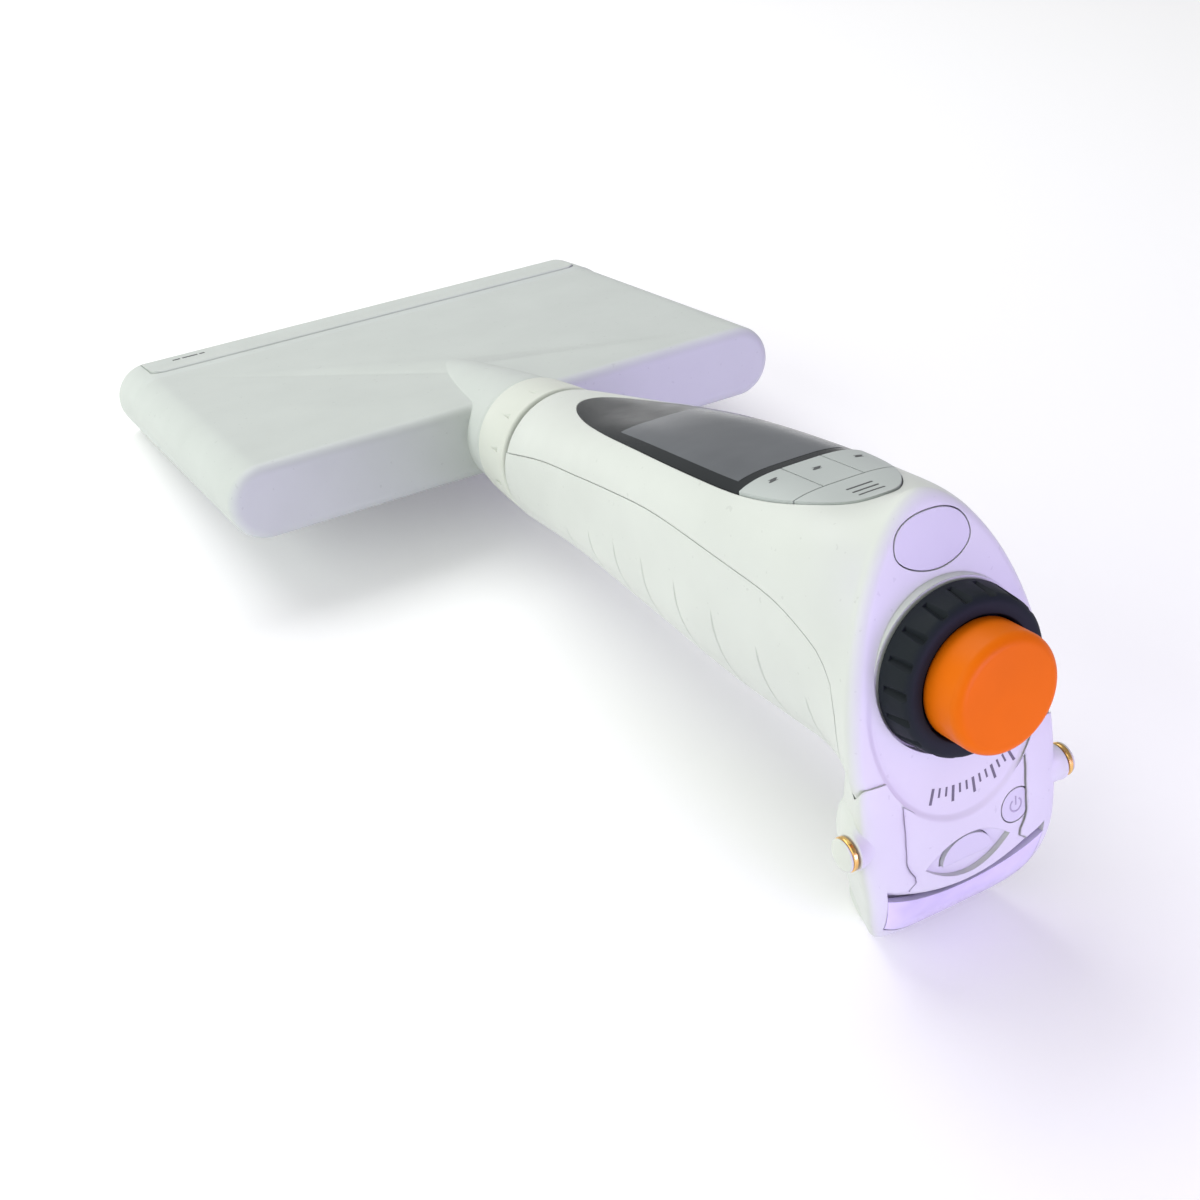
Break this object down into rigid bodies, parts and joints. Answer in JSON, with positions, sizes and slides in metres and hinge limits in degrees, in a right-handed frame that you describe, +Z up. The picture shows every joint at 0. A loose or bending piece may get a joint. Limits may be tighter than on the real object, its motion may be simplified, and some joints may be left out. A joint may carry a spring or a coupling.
{
  "type": "electronic multichannel pipette",
  "caption": "Battery-powered hand pipette with a wide multichannel head, display, adjustment wheel, operating button and finger hook.",
  "frame": {"origin": "middle of the footprint, at the height of the surface that the pipette lies on", "axes": "+Y toward the tip end, +Z up on the display side, +X to the right seen from the button end"},
  "size_m": [0.118, 0.2422, 0.0667],
  "materials": {
    "shell_white": "satin moulded plastic",
    "head_white": "finely textured moulded plastic",
    "ring_white": "smooth moulded plastic",
    "black_rubber": "soft-touch black",
    "orange": "satin orange plastic",
    "lens_dark": "dark tinted acrylic",
    "glass_grey": "grey liquid crystal glass",
    "clear_plastic": "clear moulded plastic",
    "gold": "gold plated",
    "steel": "ground steel",
    "brass": "turned brass",
    "inner_plastic": "grey engineering plastic",
    "board_green": "green circuit board",
    "cone_plastic": "light grey moulded plastic",
    "battery_blue": "blue battery sleeve",
    "card_white": "white card"
  },
  "bodies": {
    "handle": {"upper_shell": "shell_white", "grip_shell": "shell_white", "display_lens": "lens_dark", "lcd_module": "glass_grey", "main_board": "board_green", "end_board": "board_green", "key_mat": "inner_plastic", "battery": "battery_blue", "motor": "steel", "motor_bracket": "inner_plastic", "swivel_bush": "inner_plastic", "wheel_encoder": "board_green", "button_switch": "inner_plastic", "finger_hook": "shell_white", "label_window": "clear_plastic", "label_card": "card_white", "contact_pin_left": "gold", "contact_pin_right": "gold", "contact_disc_left": "ring_white", "contact_disc_right": "ring_white"},
    "head": {"head_housing": "head_white", "nozzle_plate": "inner_plastic", "guide_rod_left": "steel", "guide_rod_right": "steel", "tip_cone_01": "cone_plastic", "tip_cone_02": "cone_plastic", "tip_cone_03": "cone_plastic", "tip_cone_04": "cone_plastic", "tip_cone_05": "cone_plastic", "tip_cone_06": "cone_plastic", "tip_cone_07": "cone_plastic", "tip_cone_08": "cone_plastic", "tip_cone_09": "cone_plastic", "tip_cone_10": "cone_plastic", "tip_cone_11": "cone_plastic", "tip_cone_12": "cone_plastic"},
    "coupling_ring": {"coupling_ring": "ring_white"},
    "tip_ejector": {"tip_ejector": "head_white"},
    "piston_rack": {"piston_rack": "inner_plastic"},
    "lead_nut": {"lead_nut": "brass"},
    "lead_screw": {"lead_screw": "steel", "drive_gear": "brass"},
    "motor_pinion": {"motor_pinion": "brass"},
    "adjust_wheel": {"adjust_wheel": "black_rubber"},
    "operating_button": {"operating_button": "orange"},
    "tip_eject_key": {"tip_eject_key": "shell_white"},
    "power_key": {"power_key": "shell_white"},
    "soft_key_left": {"soft_key_left": "shell_white"},
    "soft_key_middle": {"soft_key_middle": "shell_white"},
    "soft_key_right": {"soft_key_right": "shell_white"},
    "menu_key": {"menu_key": "shell_white"},
    "cover_latch": {"cover_latch": "shell_white"}
  },
  "joints": [
    {"name": "head_swivel", "type": "hinge", "parent": "handle", "child": "head", "pos_m": [0, -0.00913, 0.02614], "axis": [0, 0.9866, -0.1634], "continuous": true},
    {"name": "ring_turn", "type": "hinge", "parent": "head", "child": "coupling_ring", "pos_m": [0, 0.00745, 0.02339], "axis": [0, 0.9866, -0.1634], "range_deg": [0, 60]},
    {"name": "ejector_slide", "type": "slide", "parent": "head", "child": "tip_ejector", "axis": [0, 0.9866, -0.1634], "range_m": [0, 0.004], "stiffness_N_per_m": 900, "springref_m": -0.001},
    {"name": "screw_spin", "type": "hinge", "parent": "handle", "child": "lead_screw", "pos_m": [0, -0.05185, 0.03321], "axis": [0, 0.9866, -0.1634], "range_deg": [-3330, 90]},
    {"name": "rack_slide", "type": "slide", "parent": "head", "child": "piston_rack", "axis": [0, 0.9866, -0.1634], "range_m": [-0.018, 0]},
    {"name": "nut_slide", "type": "slide", "parent": "handle", "child": "lead_nut", "axis": [0, 0.9866, -0.1634], "range_m": [-0.0185, 0.0005]},
    {"name": "pinion_spin", "type": "hinge", "parent": "handle", "child": "motor_pinion", "pos_m": [0, -0.05618, 0.02663], "axis": [0, 0.9866, -0.1634], "range_deg": [-180, 6660]},
    {"name": "wheel_turn", "type": "hinge", "parent": "handle", "child": "adjust_wheel", "pos_m": [0, -0.10851, 0.04483], "axis": [0, 0.9866, -0.1634], "continuous": true},
    {"name": "button_press", "type": "slide", "parent": "handle", "child": "operating_button", "axis": [0, 0.9866, -0.1634], "range_m": [0, 0.0022], "stiffness_N_per_m": 700, "springref_m": -0.00066},
    {"name": "eject_press", "type": "slide", "parent": "handle", "child": "tip_eject_key", "axis": [0, 0.9866, -0.1634], "range_m": [0, 0.0008], "stiffness_N_per_m": 900, "springref_m": -0.00024},
    {"name": "power_press", "type": "slide", "parent": "handle", "child": "power_key", "axis": [0, 0.9866, -0.1634], "range_m": [0, 0.0005], "stiffness_N_per_m": 600, "springref_m": -0.00015},
    {"name": "soft_left_press", "type": "slide", "parent": "handle", "child": "soft_key_left", "axis": [0, -0.1634, -0.9866], "range_m": [0, 0.0004], "stiffness_N_per_m": 900, "springref_m": -0.00012},
    {"name": "soft_middle_press", "type": "slide", "parent": "handle", "child": "soft_key_middle", "axis": [0, -0.1634, -0.9866], "range_m": [0, 0.0004], "stiffness_N_per_m": 900, "springref_m": -0.00012},
    {"name": "soft_right_press", "type": "slide", "parent": "handle", "child": "soft_key_right", "axis": [0, -0.1634, -0.9866], "range_m": [0, 0.0004], "stiffness_N_per_m": 900, "springref_m": -0.00012},
    {"name": "menu_press", "type": "slide", "parent": "handle", "child": "menu_key", "axis": [0, -0.1634, -0.9866], "range_m": [0, 0.0004], "stiffness_N_per_m": 900, "springref_m": -0.00012},
    {"name": "latch_press", "type": "slide", "parent": "handle", "child": "cover_latch", "axis": [0, 0.9866, -0.1634], "range_m": [0, 0.0005], "stiffness_N_per_m": 600, "springref_m": -0.00015}
  ],
  "couplings": [
    {"joint": "nut_slide", "follows": "rack_slide", "ratio": 1},
    {"joint": "screw_spin", "follows": "rack_slide", "rad_per_m": 3141.6},
    {"joint": "pinion_spin", "follows": "rack_slide", "rad_per_m": -6283.2}
  ]
}
